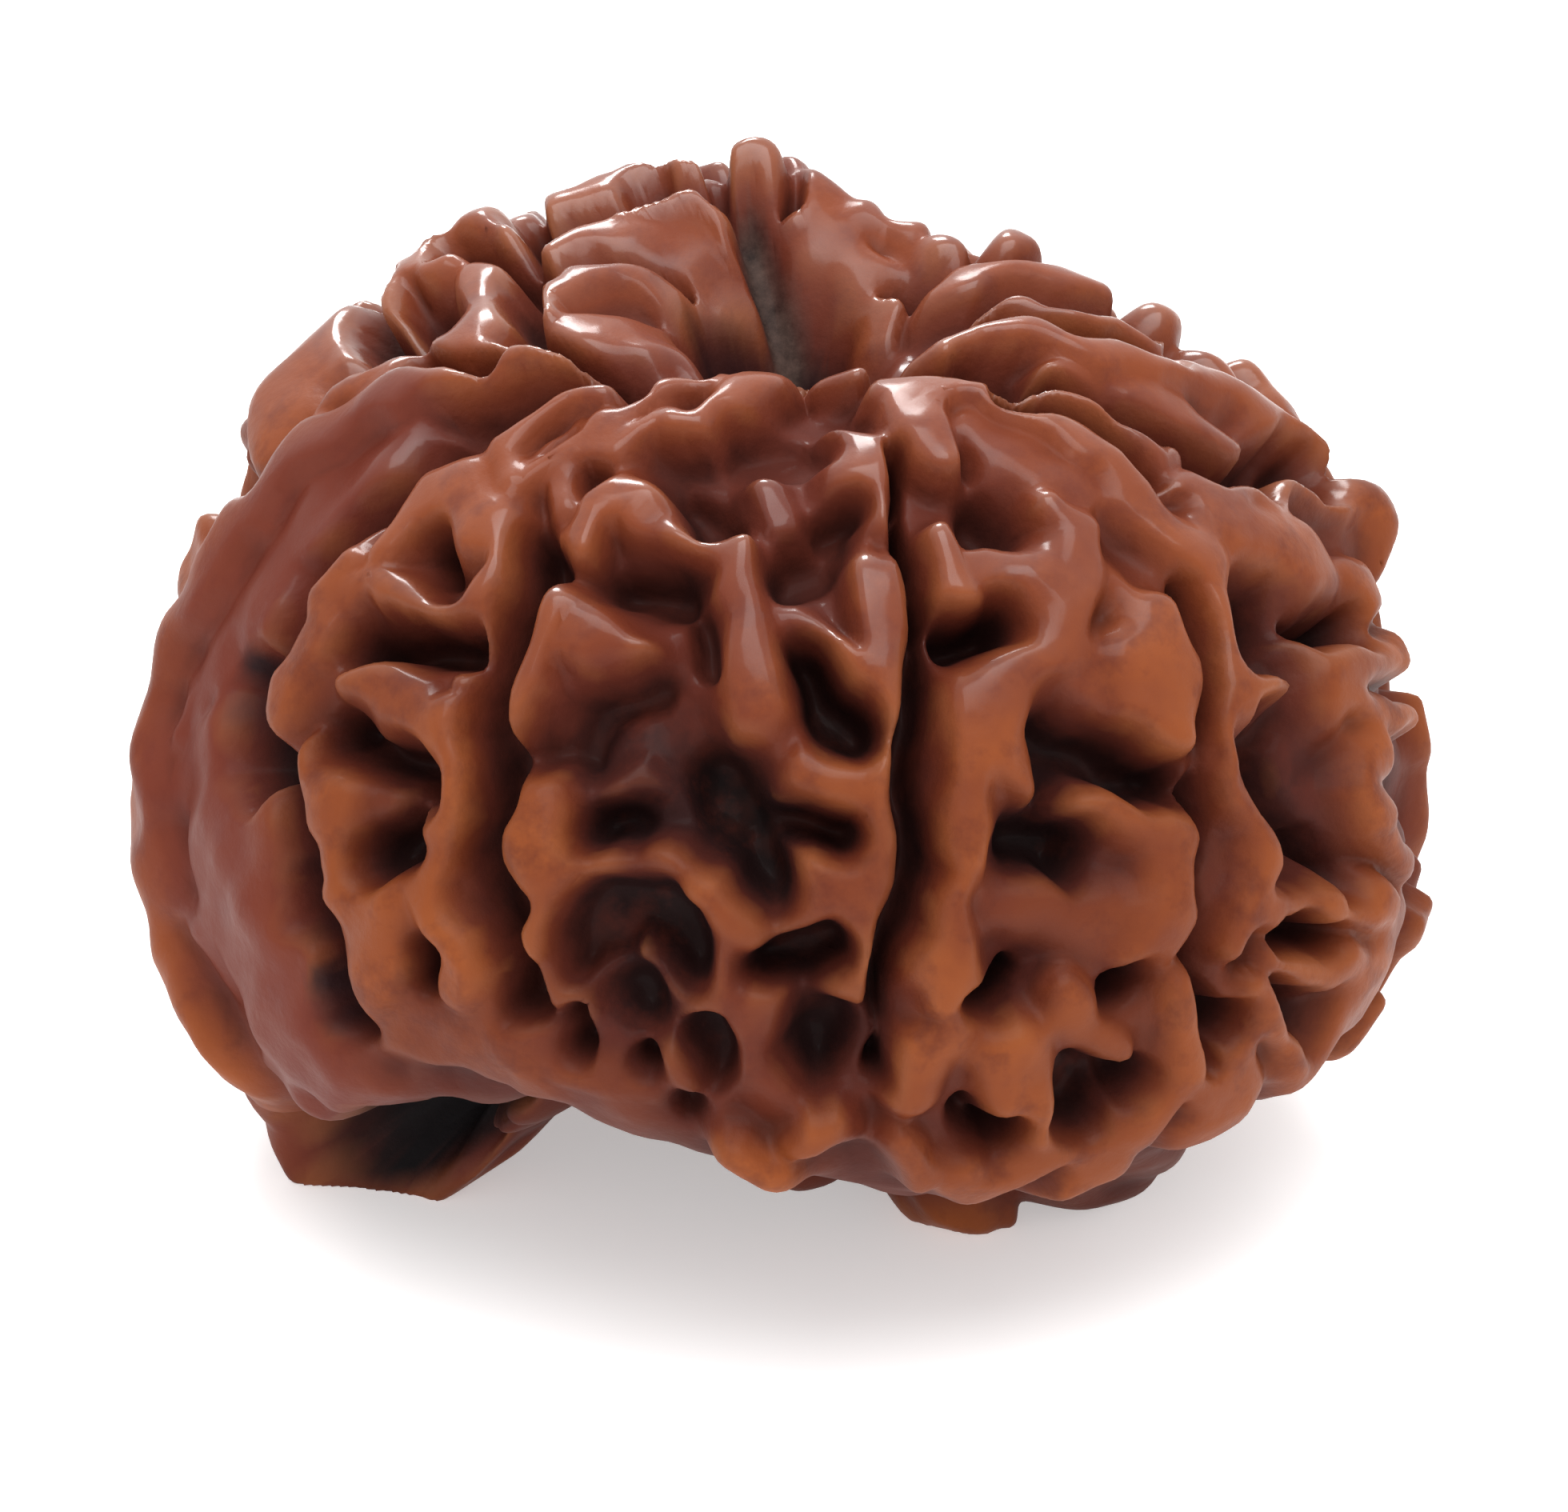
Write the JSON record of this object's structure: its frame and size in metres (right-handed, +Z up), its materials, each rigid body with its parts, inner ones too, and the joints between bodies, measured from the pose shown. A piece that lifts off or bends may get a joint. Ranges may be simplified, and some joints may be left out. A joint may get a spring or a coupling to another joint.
{
  "type": "rudraksha bead",
  "caption": "Natural rudraksha bead: one grown stone, squat and round, grooved into segments covered with wrinkled ridges and pits, with a pit at the crown.",
  "frame": {"origin": "on the surface the bead rests on, under the middle of its bounding box", "axes": "+Z up, along the bead's own axis from foot to crown; -Y towards the side the picture shows; +X to the right in the picture"},
  "size_m": [0.027, 0.0264, 0.0205],
  "materials": {
    "bead": "oiled, half glossy brown"
  },
  "bodies": {
    "root": {"bead": "bead"}
  },
  "joints": []
}
